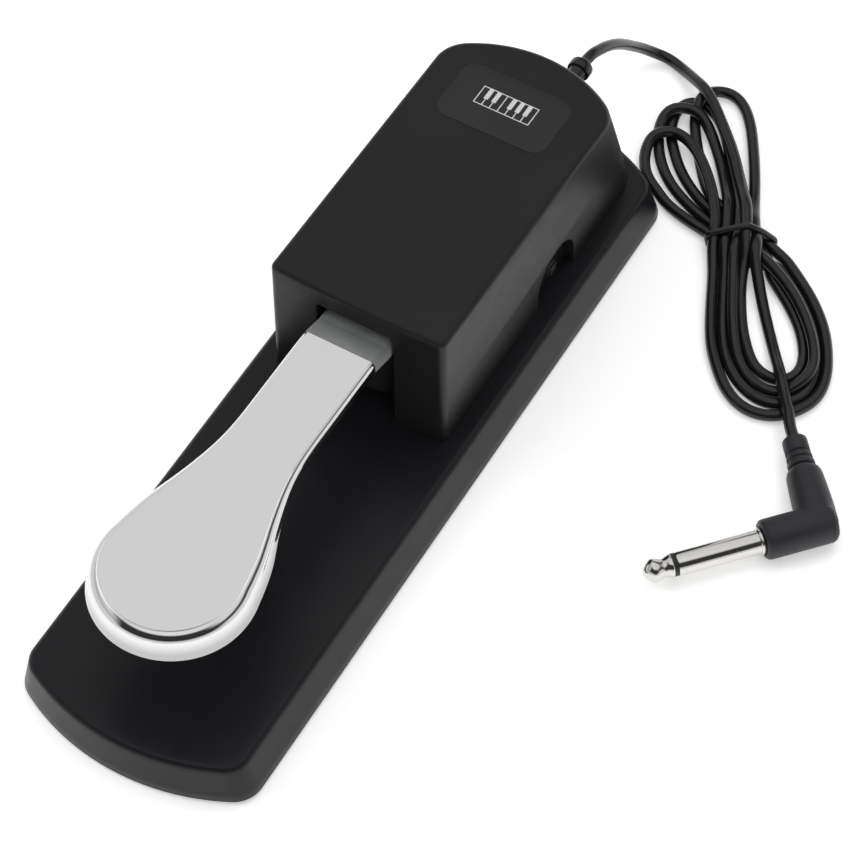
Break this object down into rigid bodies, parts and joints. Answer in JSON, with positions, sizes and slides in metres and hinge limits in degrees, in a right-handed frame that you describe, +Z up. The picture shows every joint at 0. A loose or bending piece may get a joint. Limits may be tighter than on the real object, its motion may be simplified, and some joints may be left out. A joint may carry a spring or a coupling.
{
  "type": "sustain pedal",
  "caption": "Piano-style sustain foot pedal: chrome lever sprung in a black plastic housing, polarity slide switch, thin lead tied in a hank with a right-angle 6.35 mm plug.",
  "frame": {"origin": "middle of the base's length and width, on the floor", "axes": "+Y from the toe end to the lead's end, +X to the polarity switch side, +Z up"},
  "size_m": [0.1572, 0.2705, 0.0552],
  "materials": {
    "housing_plastic": "fine-textured black ABS, satin",
    "lever_chrome": "bright chrome plate on pressed steel",
    "label": null,
    "plate_steel": "zinc-plated sheet steel",
    "screw_steel": "zinc-plated steel",
    "switch_steel": "tinned sheet steel",
    "foot_rubber": "moulded black rubber",
    "nylon": "natural nylon",
    "felt": "pressed wool felt",
    "board": "solder-masked fibreglass",
    "switch_plastic": "black moulded nylon",
    "plunger_plastic": "red acetal",
    "wire_pvc": "red PVC insulation",
    "cable_pvc": "flexible black PVC, satin",
    "boot_pvc": "moulded black PVC, matte",
    "plug_nickel": "nickel plate"
  },
  "bodies": {
    "base": {"base_shell": "housing_plastic", "bottom_plate": "plate_steel", "rubber_feet": "foot_rubber", "plate_screws": "screw_steel", "housing": "housing_plastic", "housing_screws": "screw_steel", "nameplate": "label", "pivot_bracket": "plate_steel", "bracket_screws": "screw_steel", "pivot_bushes": "nylon", "return_spring": "screw_steel", "spring_seat": "nylon", "up_stop_pad": "felt", "down_stop_bumper": "foot_rubber", "circuit_board": "board", "board_screws": "screw_steel", "contact_switch": "switch_plastic", "polarity_switch": "switch_steel", "inner_leads": "wire_pvc", "cable_clamp": "switch_plastic", "clamp_screws": "screw_steel", "strain_relief": "cable_pvc", "cable_lead": "cable_pvc", "cable_hank": "cable_pvc", "cable_tail": "cable_pvc", "hank_tie": "cable_pvc", "plug_boot": "boot_pvc", "plug_sleeve": "plug_nickel", "plug_ring": "switch_plastic", "plug_tip": "plug_nickel"},
    "lever": {"pedal_lever": "lever_chrome", "lever_carrier": "plate_steel", "lever_rivets": "screw_steel", "pivot_pin": "screw_steel", "pin_clips": "screw_steel"},
    "plunger": {"switch_plunger": "plunger_plastic"},
    "knob": {"polarity_knob": "switch_plastic"}
  },
  "joints": [
    {"name": "lever_hinge", "type": "hinge", "parent": "base", "child": "lever", "pos_m": [0, 0.07, 0.036], "axis": [1, 0, 0], "range_deg": [0, 6], "stiffness_Nm_per_rad": 8.6, "springref_deg": -6.02, "deforming": ["return_spring"]},
    {"name": "plunger_slide", "type": "slide", "parent": "base", "child": "plunger", "axis": [0, 0, -1], "range_m": [0, 0.0024]},
    {"name": "knob_slide", "type": "slide", "parent": "base", "child": "knob", "axis": [0, 1, 0], "range_m": [-0.0036, 0]}
  ],
  "couplings": [
    {"joint": "plunger_slide", "follows": "lever_hinge", "m_per_rad": 0.0222}
  ]
}
